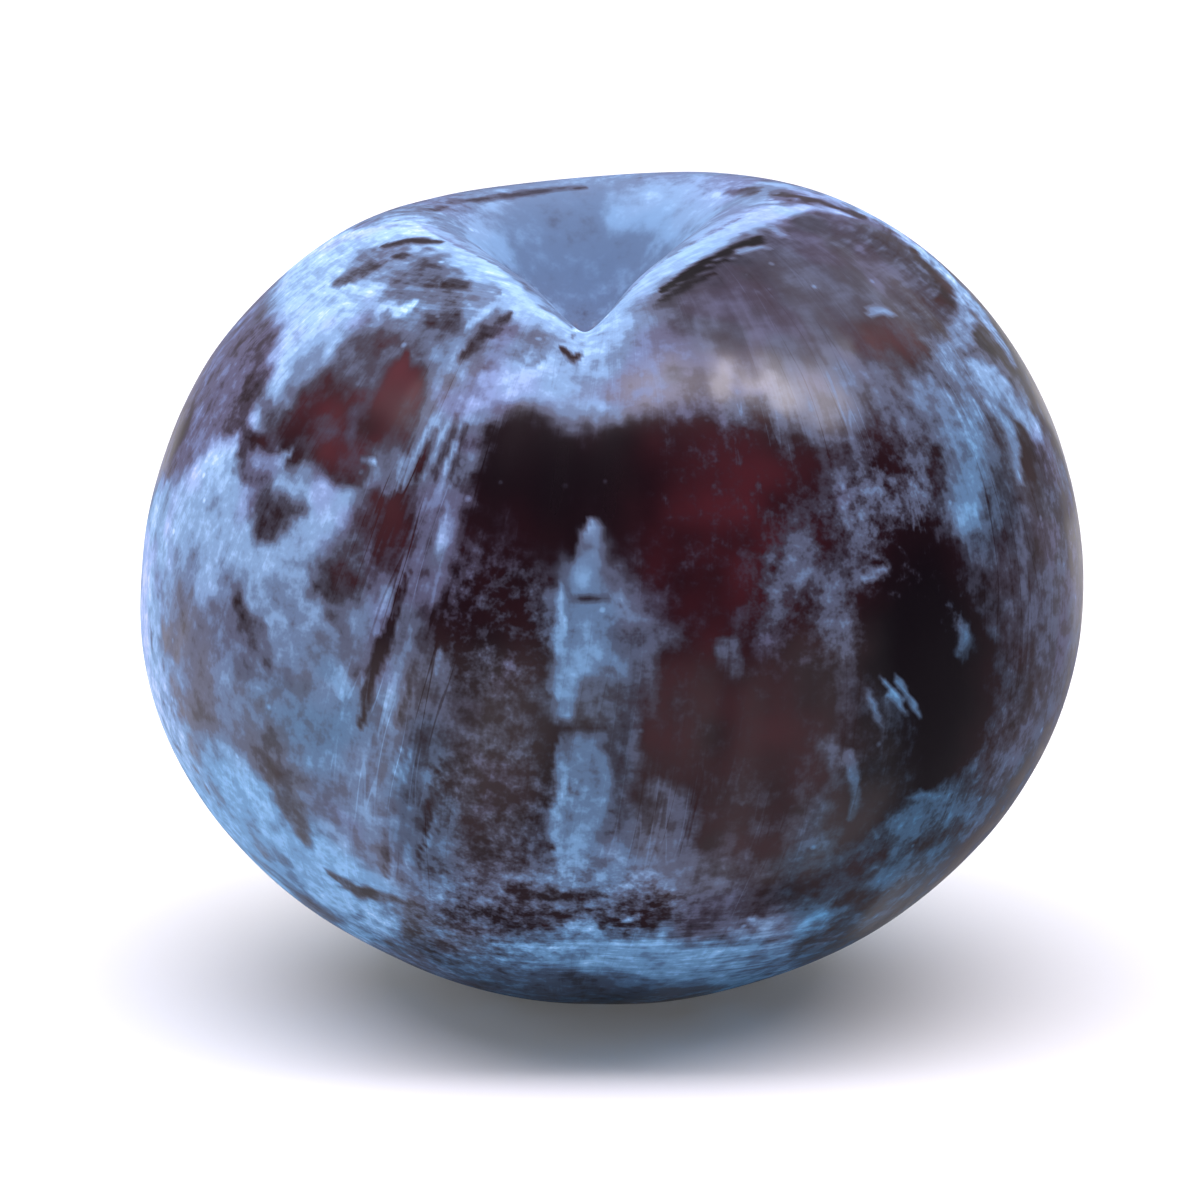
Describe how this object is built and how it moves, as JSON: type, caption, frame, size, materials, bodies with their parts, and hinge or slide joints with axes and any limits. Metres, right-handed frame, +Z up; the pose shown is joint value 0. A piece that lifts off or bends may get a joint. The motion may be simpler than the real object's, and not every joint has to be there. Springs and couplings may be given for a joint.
{
  "type": "plum",
  "caption": "Whole dark purple plum with a pale wax bloom, a deep stem basin and a notched suture, standing on a small flat spot at its blossom end.",
  "frame": {"origin": "under the middle of the fruit's box, on the surface it rests on", "axes": "+Z up towards the stem end, -Y towards the suture, +X to the right of someone facing the suture"},
  "size_m": [0.069, 0.0674, 0.0585],
  "materials": {
    "skin": "dark purple skin, semi-gloss where rubbed, under a matte powder-blue wax bloom"
  },
  "bodies": {
    "root": {"plum": "skin"}
  },
  "joints": []
}
